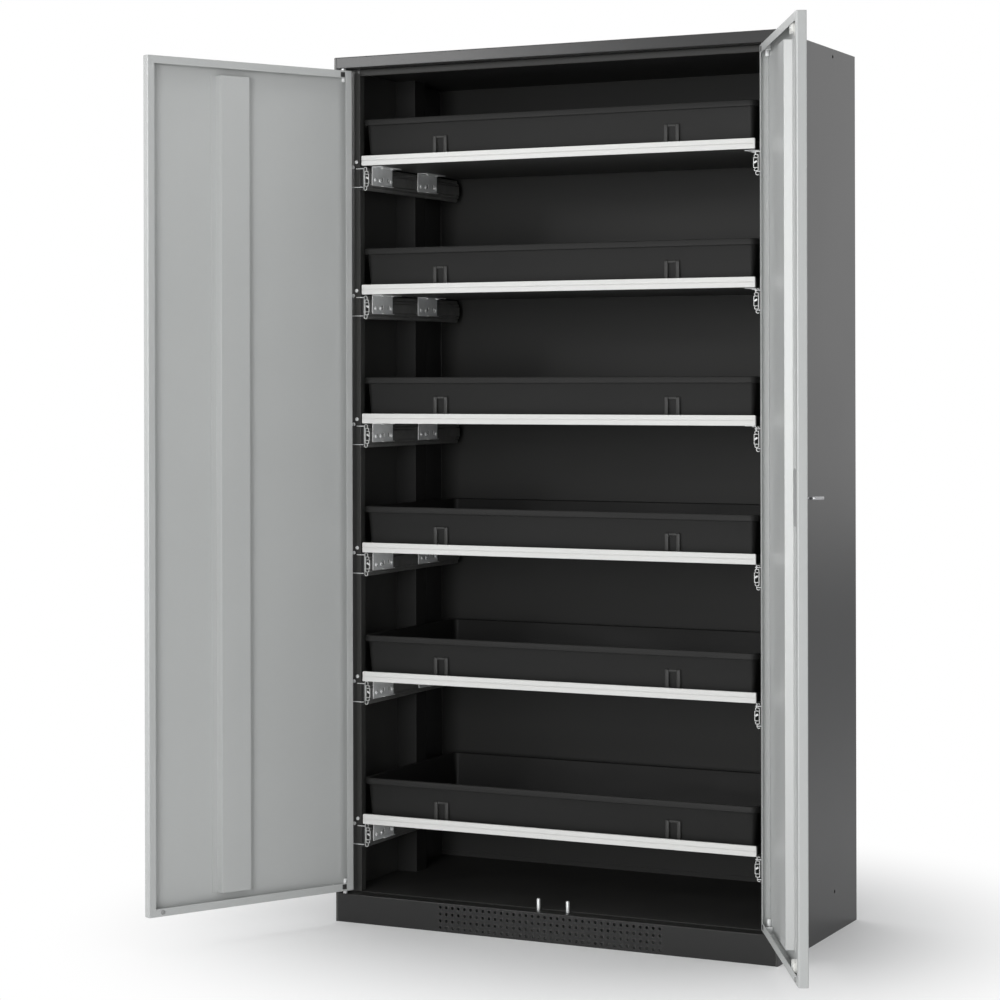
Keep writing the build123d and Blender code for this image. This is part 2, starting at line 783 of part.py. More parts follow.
for number, (bar_top, bar_bottom, centre) in enumerate(zip(bar_tops, bar_bottoms, rail_centres), 1):
    # Middle channels travel half as far as the shelf
    with BuildPart() as middle_rails:
        with BuildSketch(Plane.XZ.offset(-rail_rear_y)):
            with Locations((rail_x, centre)):
                add(middle_rail_section)
        extrude(amount=rail_length)
        mirror(about=Plane.YZ)
    keep(middle_rails, f"drawer_{number}_middle_rails")

    # Inner channels, with the angle brackets that carry the shelf
    with BuildPart() as runners:
        with BuildSketch(Plane.XZ.offset(-rail_rear_y)):
            with Locations((rail_x, centre)):
                add(inner_rail_section)
        extrude(amount=rail_length)
        for front in bracket_fronts:
            with BuildSketch(Plane.XZ.offset(-front_y - front)):
                with Locations((rail_x, centre)):
                    add(bracket_section)
            extrude(amount=-bracket_length)
        mirror(about=Plane.YZ)
    keep(runners, f"drawer_{number}_runners")

    # Shelf: a shallow pan on the brackets
    with BuildPart() as shelf:
        with BuildSketch(Plane.XY.offset(bar_bottom)):
            with Locations((0, front_y + shelf_front)):
                Rectangle(shelf_width, shelf_depth, align=(Align.CENTER, Align.MIN))
        extrude(amount=shelf_lip)
        offset(amount=-body_sheet, openings=shelf.faces().sort_by(Axis.Z)[-1])
    keep(shelf, f"drawer_{number}_shelf")

    # Front bar: a strip with clipped corners and a groove along its face, used as the pull
    bar_middle = bar_top - bar_height / 2
    with BuildPart() as front_bar:
        with BuildSketch(Plane.XZ.offset(-front_y - shelf_front)):
            with Locations((0, bar_middle)):
                bar_outline = Rectangle(bar_width, bar_height)
            chamfer(bar_outline.vertices(), bar_corner)
        extrude(amount=bar_depth)
        with BuildSketch(Plane.XZ.offset(-front_y - shelf_front + bar_depth)):
            with Locations((0, bar_middle)):
                Rectangle(bar_width + overrun, bar_groove_width)
        extrude(amount=-bar_groove_depth, mode=Mode.SUBTRACT)
    keep(front_bar, f"drawer_{number}_front_bar")

    # Spill tray: drawn-out walls, a rim with a turned-down lip and two catches in front
    tray_floor = bar_bottom + body_sheet
    tray_top = tray_floor + tray_rise
    with BuildPart() as tray:
        with BuildSketch(Plane.XY.offset(tray_floor)):
            with Locations((0, tray_y)):
                add(tray_base_outline)
        extrude(amount=tray_rise, taper=-tray_draft)
        with BuildSketch(Plane.XY.offset(tray_floor + tray_wall)):
            with Locations((0, tray_y)):
                add(tray_cavity_outline)
        extrude(amount=tray_rise, taper=-tray_draft, mode=Mode.SUBTRACT)
        with BuildSketch(Plane.XY.offset(tray_top - tray_wall)):
            with Locations((0, tray_y)):
                add(tray_rim_outline)
                add(tray_mouth_outline, mode=Mode.SUBTRACT)
        extrude(amount=tray_wall)
        with BuildSketch(Plane.XY.offset(tray_top - tray_rim_height)):
            with Locations((0, tray_y)):
                add(tray_rim_outline)
                add(tray_lip_outline, mode=Mode.SUBTRACT)
        extrude(amount=tray_rim_height - tray_wall)
        with BuildSketch(Plane.XZ.offset(-catch_low_y)):
            with Locations((0, bar_top - tray_catch_below_bar)):
                with GridLocations(tray_catch_spacing, tray_catch_height, 2, 1):
                    Rectangle(tray_catch_width, tray_catch_height, align=(Align.CENTER, Align.MIN))
                    Rectangle(
                        tray_catch_width - 2 * tray_catch_arm,
                        tray_catch_height - tray_catch_bar,
                        align=(Align.CENTER, Align.MIN),
                        mode=Mode.SUBTRACT,
                    )
        extrude(amount=catch_low_y - tray_base_front_y - tray_catch_sink)
    keep(tray, f"drawer_{number}_tray")
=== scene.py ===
"""Chemical storage cabinet: its finishes and fittings, set in a plain studio.

Lengths are metres, in the part's own frame."""
import json
import math
import bmesh
import bpy
from mathutils import Matrix, Vector


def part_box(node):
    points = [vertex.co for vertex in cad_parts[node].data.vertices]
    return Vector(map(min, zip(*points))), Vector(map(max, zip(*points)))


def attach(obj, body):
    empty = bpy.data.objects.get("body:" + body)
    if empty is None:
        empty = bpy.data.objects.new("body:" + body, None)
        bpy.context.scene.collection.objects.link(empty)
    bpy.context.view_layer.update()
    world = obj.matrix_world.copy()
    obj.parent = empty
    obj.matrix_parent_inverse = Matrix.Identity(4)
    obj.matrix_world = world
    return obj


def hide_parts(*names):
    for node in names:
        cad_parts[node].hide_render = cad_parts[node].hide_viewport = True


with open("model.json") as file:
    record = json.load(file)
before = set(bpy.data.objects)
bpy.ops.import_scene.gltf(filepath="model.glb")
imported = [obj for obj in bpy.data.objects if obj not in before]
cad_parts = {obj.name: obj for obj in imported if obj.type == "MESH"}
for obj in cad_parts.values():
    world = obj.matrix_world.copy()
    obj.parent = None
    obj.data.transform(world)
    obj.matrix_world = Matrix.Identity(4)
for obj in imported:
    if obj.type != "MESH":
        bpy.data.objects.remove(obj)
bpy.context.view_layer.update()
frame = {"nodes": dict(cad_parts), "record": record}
nodes = frame["nodes"]
joints = {joint["name"]: joint for joint in frame["record"]["behaviour"]["joints"]}


def middle_of(name):
    """Middle of a node's box."""
    low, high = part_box(name)
    return (low + high) / 2


# Places read from the frame
drawers = range(1, 1 + sum(name.endswith("_tray") for name in nodes))
sides = ((-1, "left"), (1, "right"))
cabinet_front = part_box("roof")[0].y
side_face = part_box("right_side_panel")[1].x
slide_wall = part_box("right_fixed_rails")[1].x
slide_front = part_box("right_fixed_rails")[0].y
slide_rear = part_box("right_fixed_rails")[1].y
flange_before_spacer = 0.003
flange_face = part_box("rail_spacers")[0].y - flange_before_spacer


# Shader helpers
def put(tree, kind, inputs=(), **settings):
    """Place a shader node. Each input is a plain value, or a socket to link from."""
    made = tree.nodes.new(kind)
    for name, value in settings.items():
        setattr(made, name, value)
    for key, value in dict(inputs).items():
        if isinstance(value, bpy.types.NodeSocket):
            tree.links.new(value, made.inputs[key])
        else:
            made.inputs[key].default_value = value
    return made


def effect(name, inputs, outputs):
    """Start a shared shader group with named sockets."""
    group = bpy.data.node_groups.new(name, "ShaderNodeTree")
    for sockets, way in ((inputs, "INPUT"), (outputs, "OUTPUT")):
        for label, kind in sockets.items():
            group.interface.new_socket(label, in_out=way, socket_type=f"NodeSocket{kind}")
    return group, put(group, "NodeGroupInput").outputs, put(group, "NodeGroupOutput").inputs


def use(tree, group, inputs):
    """Place a shared effect in a finish."""
    return put(tree, "ShaderNodeGroup", inputs, node_tree=group).outputs


def sums(tree, operation, a, b, c=0.0):
    """One step of arithmetic on varying values."""
    return put(tree, "ShaderNodeMath", {0: a, 1: b, 2: c}, operation=operation).outputs[0]


def span(tree, value, low, high, start, end):
    """Spread a varying value between two levels, as it goes from start to end."""
    return put(tree, "ShaderNodeMapRange", {0: value, 1: start, 2: end, 3: low, 4: high}).outputs[0]


def clouded(tree, value, low=0.0, high=1.0):
    """Spread cloudy noise, which lies mostly in its middle levels, between two levels."""
    return span(tree, value, low, high, start=0.3, end=0.7)


def blend(tree, share, first, second):
    """Blend two colours by a varying share."""
    ends = [value if isinstance(value, bpy.types.NodeSocket) else (*value, 1) for value in (first, second)]
    return put(tree, "ShaderNodeMix", {0: share, 6: ends[0], 7: ends[1]}, data_type="RGBA").outputs[2]


def noise(tree, place, scale, detail, roughness=0.5):
    """Cloudy noise at a given scale."""
    return put(
        tree, "ShaderNodeTexNoise",
        {"Vector": place, "Scale": scale, "Detail": detail, "Roughness": roughness},
    ).outputs[0]


# Effects that several finishes share
def coat_grain_group():
    """Orange peel of a baked powder coat, with a slow change of tone over the sheet."""
    group, given, result = effect(
        "coat_grain", {"Place": "Vector", "Grain": "Float"},
        {"Height": "Float", "Tone": "Float", "Fleck": "Float"},
    )
    place, grain = given["Place"], given["Grain"]
    fine = sums(group, "MULTIPLY", grain, 3.4)
    group.links.new(noise(group, place, grain, detail=1.5), result["Height"])
    group.links.new(noise(group, place, scale=2.2, detail=3.0), result["Tone"])
    group.links.new(noise(group, place, fine, detail=0.0), result["Fleck"])
    return group


def edge_group():
    """Mask of the edges, where finishes paint a highlight into the colour: the difference between the face and a
    rounded one, which also gives the rounded normal.
    """
    group, given, result = effect("edge_light", {"Radius": "Float"}, {"Edge": "Float", "Normal": "Vector"})
    rounded = put(group, "ShaderNodeBevel", {"Radius": given["Radius"]}, samples=4)
    face = put(group, "ShaderNodeNewGeometry")
    match = put(
        group, "ShaderNodeVectorMath",
        {0: rounded.outputs[0], 1: face.outputs["Normal"]}, operation="DOT_PRODUCT",
    ).outputs["Value"]
    group.links.new(span(group, match, 1.0, 0.0, start=0.62, end=0.985), result["Edge"])
    group.links.new(rounded.outputs[0], result["Normal"])
    return group


def dust_group():
    """Thin dust on faces that look up, broken up by noise."""
    group, given, result = effect("dust", {"Place": "Vector"}, {"Mask": "Float"})
    face = put(group, "ShaderNodeNewGeometry")
    upward = put(group, "ShaderNodeSeparateXYZ", {0: face.outputs["Normal"]}).outputs["Z"]
    lying = span(group, upward, 0.0, 1.0, start=0.55, end=0.95)
    drift = noise(group, given["Place"], scale=9.0, detail=6.0, roughness=0.65)
    patches = span(group, drift, 0.25, 1.0, start=0.3, end=0.75)
    group.links.new(sums(group, "MULTIPLY", lying, patches), result["Mask"])
    return group


def rolled_group():
    """Drawing lines and plating bloom of bright steel, along the piece's length."""
    group, given, result = effect(
        "rolled_steel", {"Place": "Vector", "Stretch": "Vector"}, {"Lines": "Float", "Bloom": "Float"}
    )
    drawn = put(group, "ShaderNodeMapping", {"Vector": given["Place"], "Scale": given["Stretch"]}).outputs[0]
    group.links.new(noise(group, drawn, scale=260.0, detail=3.0, roughness=0.6), result["Lines"])
    bloom = noise(group, given["Place"], scale=45.0, detail=4.0, roughness=0.6)
    group.links.new(bloom, result["Bloom"])
    return group


coat_grain, edge_light, dust, rolled_steel = coat_grain_group(), edge_group(), dust_group(), rolled_group()

# Radii of the edges that get a painted highlight and a rounded normal, and depths of the relief
coat_edge, plated_edge, slide_edge, moulded_edge = 0.0012, 0.0007, 0.0005, 0.0015
fine_relief, pebble_relief = 0.0003, 0.0004
# Colours of dust, and of the painted highlight on plated edges
coat_dust, plastic_dust, plated_edge_highlight = (0.42, 0.41, 0.39), (0.40, 0.39, 0.37), (0.9, 0.9, 0.9)
# Depths below a side's outer face between which its coat changes to the lighter inner tone, which is painted
# light
skin_inner, skin_outer = 0.0009, 0.0004
# Distances behind the front of a slide between which its painted highlight at the front end fades out
highlight_fade_start, highlight_fade_end = 0.001, 0.004


# Finishes
def start_finish(name):
    """An empty finish with its shader and the piece's own coordinates."""
    finish = bpy.data.materials.new(name)
    finish.use_nodes = True
    tree = finish.node_tree
    tree.nodes.clear()
    shader = put(tree, "ShaderNodeBsdfPrincipled")
    put(tree, "ShaderNodeOutputMaterial", {"Surface": shader.outputs[0]})
    return finish, tree, shader, put(tree, "ShaderNodeTexCoord").outputs["Object"]


def surface(tree, shader, colour, rough, height, edge_normal, strength, distance):
    """Join colour, roughness and relief to a shader."""
    tree.links.new(colour, shader.inputs["Base Color"])
    tree.links.new(rough, shader.inputs["Roughness"])
    bump = put(
        tree, "ShaderNodeBump",
        {"Strength": strength, "Distance": distance, "Height": height, "Normal": edge_normal},
    )
    tree.links.new(bump.outputs[0], shader.inputs["Normal"])


def powder_coat(
    name, dark, light, edge_highlight_tone, rough, grain=620.0, depth=0.10,
    metallic=0.0, dusting=0.0, fleck=0.0, gloss=0.5, inner_lit_tone=None,
):
    """Baked powder coat: tone drift, orange peel, a painted highlight on the folds and a little dust.

    An inner tone is for the side panels, whose faces inside the outer skin are painted lighter: painted light
    inside the cabinet."""
    finish, tree, shader, place = start_finish(name)
    coat = use(tree, coat_grain, {"Place": place, "Grain": grain})
    edge = use(tree, edge_light, {"Radius": coat_edge})
    colour = blend(tree, clouded(tree, coat["Tone"]), dark, light)
    # Inner faces painted lighter than the outer skin: painted light
    if inner_lit_tone:
        across = put(tree, "ShaderNodeSeparateXYZ", {0: place}).outputs["X"]
        from_middle = sums(tree, "ABSOLUTE", across, 0.0)
        inner_light_share = span(tree, from_middle, 1.0, 0.0, side_face - skin_inner, side_face - skin_outer)
        colour = blend(tree, inner_light_share, colour, inner_lit_tone)
    # Folds and rims painted lighter: a painted highlight
    colour = blend(tree, sums(tree, "MULTIPLY", edge["Edge"], 0.55), colour, edge_highlight_tone)
    if fleck:
        spark = span(tree, coat["Fleck"], 0.0, fleck, start=0.62, end=0.75)
        colour = blend(tree, spark, colour, [min(1.0, 1.6 * value) for value in light])
    rubbed = clouded(tree, coat["Tone"], rough - 0.015, rough + 0.02)
    if dusting:
        film = sums(tree, "MULTIPLY", use(tree, dust, {"Place": place})["Mask"], dusting)
        colour = blend(tree, film, colour, coat_dust)
        rubbed = sums(tree, "MULTIPLY_ADD", film, 0.5, rubbed)
    shader.inputs["Metallic"].default_value = metallic
    shader.inputs["Specular IOR Level"].default_value = gloss
    surface(tree, shader, colour, rubbed, coat["Height"], edge["Normal"], depth, fine_relief)
    return finish


def plated_steel(name, dull, bright, rough, stretch, metallic=1.0):
    """Zinc or nickel plating: drawing lines, cloudy bloom and a painted highlight on the edges."""
    finish, tree, shader, place = start_finish(name)
    steel = use(tree, rolled_steel, {"Place": place, "Stretch": stretch})
    edge = use(tree, edge_light, {"Radius": plated_edge})
    colour = blend(tree, clouded(tree, steel["Bloom"]), dull, bright)
    # Edges painted near white: a painted highlight
    colour = blend(tree, sums(tree, "MULTIPLY", edge["Edge"], 0.5), colour, plated_edge_highlight)
    brushed = span(tree, steel["Lines"], rough - 0.07, rough + 0.09, start=0.25, end=0.75)
    shader.inputs["Metallic"].default_value = metallic
    surface(tree, shader, colour, brushed, steel["Lines"], edge["Normal"], 0.12, fine_relief)
    return finish


def slide_steel(name, shaded_slide_tone, streak, bright, rough, stretch, metallic):
    """Slide zinc coloured dark grey as painted shade: drawing lines, and a painted highlight on the edges and
    the front ends.
    """
    finish, tree, shader, place = start_finish(name)
    steel = use(tree, rolled_steel, {"Place": place, "Stretch": stretch})
    edge = use(tree, edge_light, {"Radius": slide_edge})
    along = put(tree, "ShaderNodeSeparateXYZ", {0: place}).outputs["Y"]
    # Front ends and edges painted bright: a painted highlight
    front_end_highlight = span(tree, along, 1.0, 0.0, slide_front + highlight_fade_start, slide_front + highlight_fade_end)
    slide_highlight_share = sums(tree, "MAXIMUM", front_end_highlight, sums(tree, "MULTIPLY", edge["Edge"], 0.25))
    # Slide zinc painted dark grey: painted shade
    colour = blend(tree, clouded(tree, steel["Bloom"]), shaded_slide_tone, streak)
    colour = blend(tree, slide_highlight_share, colour, bright)
    brushed = span(tree, steel["Lines"], rough - 0.06, rough + 0.08, start=0.25, end=0.75)
    shader.inputs["Metallic"].default_value = metallic
    surface(tree, shader, colour, brushed, steel["Lines"], edge["Normal"], 0.12, fine_relief)
    return finish


def moulded(name, low, high, rough, pebble, depth, dusting=0.0, gloss=0.5):
    """Moulded plastic or rubber: pebbled skin, faint flow marks and a painted highlight on the edges."""
    finish, tree, shader, place = start_finish(name)
    cells = put(
        tree, "ShaderNodeTexVoronoi", {"Vector": place, "Scale": pebble}, feature="SMOOTH_F1"
    ).outputs[0]
    drawn = put(tree, "ShaderNodeMapping", {"Vector": place, "Scale": (3, 9, 14)}).outputs[0]
    flow = noise(tree, drawn, scale=1.0, detail=5.0, roughness=0.6)
    edge = use(tree, edge_light, {"Radius": moulded_edge})
    colour = blend(tree, clouded(tree, flow), low, high)
    # Edges painted lighter: a painted highlight
    moulded_edge_highlight = [min(1.0, 2.2 * value) for value in high]
    colour = blend(tree, sums(tree, "MULTIPLY", edge["Edge"], 0.3), colour, moulded_edge_highlight)
    if dusting:
        film = sums(tree, "MULTIPLY", use(tree, dust, {"Place": place})["Mask"], dusting)
        colour = blend(tree, film, colour, plastic_dust)
    skin = clouded(tree, flow, rough - 0.06, rough + 0.08)
    shader.inputs["Specular IOR Level"].default_value = gloss
    surface(tree, shader, colour, skin, cells, edge["Normal"], depth, pebble_relief)
    return finish


# Values that several finishes share
body_coat = {
    "dark": (0.016, 0.016, 0.016), "light": (0.019, 0.019, 0.0195), "edge_highlight_tone": (0.09, 0.09, 0.092),
    "rough": 0.29, "dusting": 0.05,
}
dull_coat = {"rough": 0.50, "gloss": 0.30}
drawn_along_y, drawn_evenly = (6.0, 0.6, 6.0), (2.0, 2.0, 2.0)

finishes = {
    "body_paint": powder_coat("anthracite_coat", **body_coat),
    # Shelves painted lighter than the anthracite body: painted light on their undersides
    "shelf_paint": powder_coat(
        "lit_shelf_coat", (0.056, 0.056, 0.054), (0.064, 0.064, 0.062), (0.12, 0.12, 0.12),
        rough=0.45, dusting=0.05,
    ),
    "door_paint": powder_coat(
        "silver_coat", (0.485, 0.495, 0.49), (0.505, 0.515, 0.51), (0.64, 0.65, 0.64),
        rough=0.40, grain=760.0, depth=0.05, metallic=0.16, fleck=0.2,
    ),
    "bar_paint": powder_coat(
        "white_coat", (0.665, 0.665, 0.65), (0.69, 0.69, 0.675), (0.77, 0.77, 0.76),
        rough=0.34, grain=760.0, depth=0.06, dusting=0.10,
    ),
    "tray_plastic": moulded(
        "black_tray", (0.0095, 0.0095, 0.0092), (0.0125, 0.0125, 0.0120),
        rough=0.52, pebble=900.0, depth=0.25, dusting=0.03, gloss=0.24,
    ),
    "zinc_plated_steel": plated_steel(
        "bright_zinc", (0.60, 0.61, 0.61), (0.72, 0.73, 0.73),
        rough=0.38, stretch=drawn_along_y, metallic=0.55,
    ),
    "nylon": moulded(
        "natural_nylon", (0.72, 0.72, 0.69), (0.80, 0.80, 0.77), rough=0.42, pebble=1500.0, depth=0.06
    ),
    "buffer_rubber": moulded(
        "grey_rubber", (0.26, 0.265, 0.26), (0.31, 0.315, 0.31), rough=0.66, pebble=1300.0, depth=0.20
    ),
    "bright_chrome": plated_steel(
        "nickel", (0.42, 0.42, 0.43), (0.50, 0.50, 0.51), rough=0.30, stretch=drawn_evenly
    ),
}
inside_finish = powder_coat(
    "dull_anthracite_coat", (0.023, 0.023, 0.022), (0.027, 0.027, 0.026), (0.08, 0.08, 0.08),
    dusting=0.05, **dull_coat,
)
# Side panels: their inner faces are painted lighter, as painted light
side_finish = powder_coat("anthracite_side_coat", **body_coat, inner_lit_tone=(0.046, 0.046, 0.044))
# Uprights painted a little darker than the body: painted shade
shaded_upright_finish = powder_coat(
    "shaded_anthracite_coat", (0.014, 0.014, 0.0135), (0.017, 0.017, 0.0165), (0.05, 0.05, 0.05), **dull_coat
)
ceiling_finish = powder_coat(
    "ceiling_coat", (0.044, 0.044, 0.043), (0.050, 0.050, 0.048), (0.08, 0.08, 0.08), **dull_coat
)
plinth_finish = powder_coat(
    "plinth_coat", (0.011, 0.011, 0.0108), (0.0135, 0.0135, 0.0132), (0.08, 0.08, 0.08),
    rough=0.29, dusting=0.05,
)
black_nylon = moulded(
    "black_nylon", (0.018, 0.018, 0.018), (0.026, 0.026, 0.026), rough=0.42, pebble=1500.0, depth=0.08
)
# Tray plastic painted lighter on the catches: a painted highlight for the light on their rounded arms
lit_catch_finish = moulded(
    "lit_tray_catch", (0.020, 0.020, 0.019), (0.026, 0.026, 0.025),
    rough=0.45, pebble=900.0, depth=0.15, gloss=0.4,
)
# Slides painted darker than the zinc brackets as painted shade, with painted highlights on edges and front ends
slide_finish = slide_steel(
    "shaded_slide_zinc", (0.17, 0.17, 0.165), (0.22, 0.22, 0.215), (0.72, 0.73, 0.72),
    rough=0.44, stretch=drawn_along_y, metallic=0.35,
)
bracket_finish = plated_steel(
    "matt_zinc", (0.78, 0.79, 0.79), (0.87, 0.88, 0.88), rough=0.48, stretch=drawn_along_y, metallic=0.2
)

# Nodes whose finish isn't the one of their slot
own_finishes = {
    "plinth": plinth_finish, "left_hinge_bushes": black_nylon, "right_hinge_bushes": black_nylon,
    "rear_panel": inside_finish, "floor_panel": inside_finish, "ceiling_panel": ceiling_finish,
    "left_upright": shaded_upright_finish, "right_upright": shaded_upright_finish,
    "left_side_panel": side_finish, "right_side_panel": side_finish,
}
node_slots = {}
for node_name, node in nodes.items():
    node_slots[node_name] = node.material_slots[0].material.name
    node.data.materials.clear()
    node.data.materials.append(own_finishes.get(node_name, finishes[node_slots[node_name]]))

# Values that several shapes share: small edge of cut sheet, and the distance at which two points are one
sheet_edge, same_place = 0.0004, 1e-7


# Mesh helpers
def finish_piece(name, shape, body, slot_name, stands_for=(), sharp_angle=32, finish=None):
    """Make a finished shape a piece that rides on its body."""
    bmesh.ops.recalc_face_normals(shape, faces=shape.faces)
    data = bpy.data.meshes.new(name)
    shape.to_mesh(data)
    shape.free()
    data.shade_smooth()
    data.set_sharp_from_angle(angle=math.radians(sharp_angle))
    data.materials.append(finish or finishes[slot_name])
    made = bpy.data.objects.new(name, data)
    bpy.context.scene.collection.objects.link(made)
    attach(made, body)
    if stands_for:
        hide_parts(*stands_for)


def set_in(shape, part, place):
    """Set a part that was made by itself into a shape."""
    bmesh.ops.transform(part, matrix=place, verts=part.verts)
    data = bpy.data.meshes.new("part")
    part.to_mesh(data)
    part.free()
    shape.from_mesh(data)
    bpy.data.meshes.remove(data)


def grown_points(grown):
    """The points that an extrusion made."""
    return [item for item in grown if isinstance(item, bmesh.types.BMVert)]


def block(shape, size, centre, edge, rounds, place=Matrix()):
    """A bar or plate with rounded edges."""
    part = bmesh.new()
    bmesh.ops.create_cube(part, size=1.0)
    bmesh.ops.scale(part, vec=size, verts=part.verts)
    bmesh.ops.translate(part, vec=centre, verts=part.verts)
    bmesh.ops.bevel(
        part, geom=part.edges[:], offset=edge, affect="EDGES", segments=rounds, profile=0.5, material=-1
    )
    set_in(shape, part, place)


def turned(shape, profile, place, steps):
    """A turned part: a profile of (radius, height) points spun about its own z axis."""
    part = bmesh.new()
    points = [part.verts.new((radius, 0, height)) for radius, height in profile]
    edges = [part.edges.new(pair) for pair in zip(points, points[1:])]
    bmesh.ops.spin(
        part, geom=points + edges, cent=(0, 0, 0), axis=(0, 0, 1), angle=math.tau, steps=steps, use_merge=True
    )
    bmesh.ops.remove_doubles(part, verts=part.verts, dist=same_place)
    bmesh.ops.recalc_face_normals(part, faces=part.faces)
    set_in(shape, part, place)


def facing(place, outward):
    """Place a turned piece with its z axis along an outward direction."""
    return Matrix.Translation(place) @ Vector(outward).to_track_quat("Z", "Y").to_matrix().to_4x4()


# Pan head with a small socket, as shares of its radius and of its height, and how far it sinks in
head_line = [(0, 0.35), (0.34, 0.35), (0.42, 1), (0.74, 0.94), (0.95, 0.55), (1, 0)]
head_steps, head_sunk = 14, 0.0004


def pan_head(shape, place, outward, radius, proud):
    """Pan-head screw with a small socket."""
    crown = [(out * radius, up * proud) for out, up in head_line]
    turned(shape, crown + [(radius, -head_sunk), (0, -head_sunk)], facing(place, outward), head_steps)


def folded_sheet(shape, line, bend, thickness, start, end, place, rounds=5):
    """A sheet folded along a line of (across, up) points, which is its outer face, and drawn out along y."""
    part = bmesh.new()
    corners = [part.verts.new((across, start, up)) for across, up in line]
    for pair in zip(corners, corners[1:]):
        part.edges.new(pair)
    bmesh.ops.bevel(
        part, geom=corners[1:-1], offset=bend, affect="VERTICES", segments=rounds, profile=0.5, material=-1
    )
    grown = bmesh.ops.extrude_edge_only(part, edges=part.edges[:])["geom"]
    bmesh.ops.translate(part, vec=(0, end - start, 0), verts=grown_points(grown))
    bmesh.ops.recalc_face_normals(part, faces=part.faces[:])
    middle = sum((point.co for point in part.verts), Vector()) / len(part.verts)
    outward = sum(
        face.calc_area() * face.normal.dot(face.calc_center_median() - middle) for face in part.faces
    )
    if outward < 0:
        bmesh.ops.reverse_faces(part, faces=part.faces[:])
    bmesh.ops.solidify(part, geom=part.faces[:], thickness=thickness)
    set_in(shape, part, place)


def ring_outline(shape, half_x, half_y, corner, level=0.0, centre=(0, 0), rounds=6):
    """An outline with round corners, as a ring of edges."""
    sheet = bmesh.ops.create_grid(shape, x_segments=1, y_segments=1, size=1.0)["verts"]
    bmesh.ops.scale(shape, vec=(half_x, half_y, 1), verts=sheet)
    bmesh.ops.translate(shape, vec=(*centre, level), verts=sheet)
    bmesh.ops.bevel(
        shape, geom=sheet, offset=corner, affect="VERTICES", segments=rounds, profile=0.5, material=-1
    )
    face = shape.faces[:][-1]
    ring = face.edges[:]
    bmesh.ops.delete(shape, geom=[face], context="FACES_ONLY")
    return ring


# Slotted plates: roundness of a slot's ends, steps of a corner, and the turn in radians that makes an edge a rim
slot_roundness, plate_rounds, rim_turn = 0.48, 4, 1.0


def slotted_plate(shape, size, corner, slots, thickness, place, edge=0.0):
    """A plate with round corners and slots, each given as its centre and size, on its own xy plane."""
    part = bmesh.new()
    ring_outline(part, size[0] / 2, size[1] / 2, corner, rounds=plate_rounds)
    for centre, opening in slots:
        ring_outline(
            part, opening[0] / 2, opening[1] / 2, slot_roundness * min(opening),
            centre=centre, rounds=plate_rounds,
        )
    bmesh.ops.triangle_fill(part, use_beauty=True, use_dissolve=False, edges=part.edges[:])
    grown = bmesh.ops.extrude_face_region(part, geom=part.faces[:])["geom"]
    bmesh.ops.translate(part, vec=(0, 0, thickness), verts=grown_points(grown))
    if edge:
        bmesh.ops.recalc_face_normals(part, faces=part.faces[:])
        rims = [line for line in part.edges if line.calc_face_angle(0.0) > rim_turn]
        bmesh.ops.bevel(part, geom=rims, offset=edge, affect="EDGES", segments=2, profile=0.5, material=-1)
    set_in(shape, part, place)


def evenly(count, pitch):
    """Places at an even pitch on both sides of zero."""
    return [(step - (count - 1) / 2) * pitch for step in range(count)]


# Spill trays
tray_overhang, tray_wall = 0.007, 0.003
tray_slope = math.tan(math.radians(5.0))
tray_rim_corner, tray_least_corner, tray_rim_height = 0.023, 0.002, 0.014
tray_foot_inset, tray_foot_rise, tray_shoulder = 0.0015, 0.0012, 0.008
tray_sharp_angle = 40
# Rolled rim: points of (inset, depth below the top) inside its fold and over its crown
rim_fold = [(0.0062, 0.0045), (0.0046, 0.0031), (0.0032, 0.0038)]
rim_crown = [
    (0, 0.0028), (0.0008, 0.0010), (0.0028, 0.0002), (0.0050, 0), (0.0074, 0.0003), (0.0095, 0.0012),
    (0.0105, 0.0035),
]
# Hem of the rim: points of (inset, height above its lower edge)
rim_hem = [(0.0028, 0.0006), (0.0022, 0), (0.0006, 0.0002), (0, 0.0009)]
# Corner inside the foot: points of (inset from the wall's inner face, height above the floor of the tray)
inner_corner = [(-0.0006, 0.006), (0.0016, 0.0015), (0.006, 0)]
catch_half_spacing = 0.2785
catch_width, catch_height = 0.036, 0.042
catch_arm, catch_bar, catch_proud, catch_below_bar = 0.0095, 0.006, 0.005, 0.003
catch_arm_edge, catch_bar_edge, catch_bar_setback, catch_rounds = 0.0024, 0.0016, 0.002, 3


def tray_shell(half_x, half_y, rise, foot):
    """A moulded tray with round corners, leaning walls and a rolled rim."""
    hem = rise - tray_rim_height
    section = [
        (foot + tray_foot_inset, 0), (foot, tray_foot_rise),
        (tray_overhang + tray_shoulder * tray_slope, rise - tray_shoulder),
        *[(inset, rise - depth) for inset, depth in rim_fold],
        *[(inset, hem + height) for inset, height in rim_hem],
        *[(inset, rise - depth) for inset, depth in rim_crown],
        *[(foot + tray_wall + inset, tray_wall + height) for inset, height in inner_corner],
    ]
    shape = bmesh.new()
    rings = [
        ring_outline(
            shape, half_x - inset, half_y - inset, max(tray_least_corner, tray_rim_corner - inset), level
        )
        for inset, level in section
    ]
    for below, above in zip(rings, rings[1:]):
        bmesh.ops.bridge_loops(shape, edges=below + above)
    for ring in (rings[0], rings[-1]):
        bmesh.ops.edgeloop_fill(shape, edges=ring)
    return shape


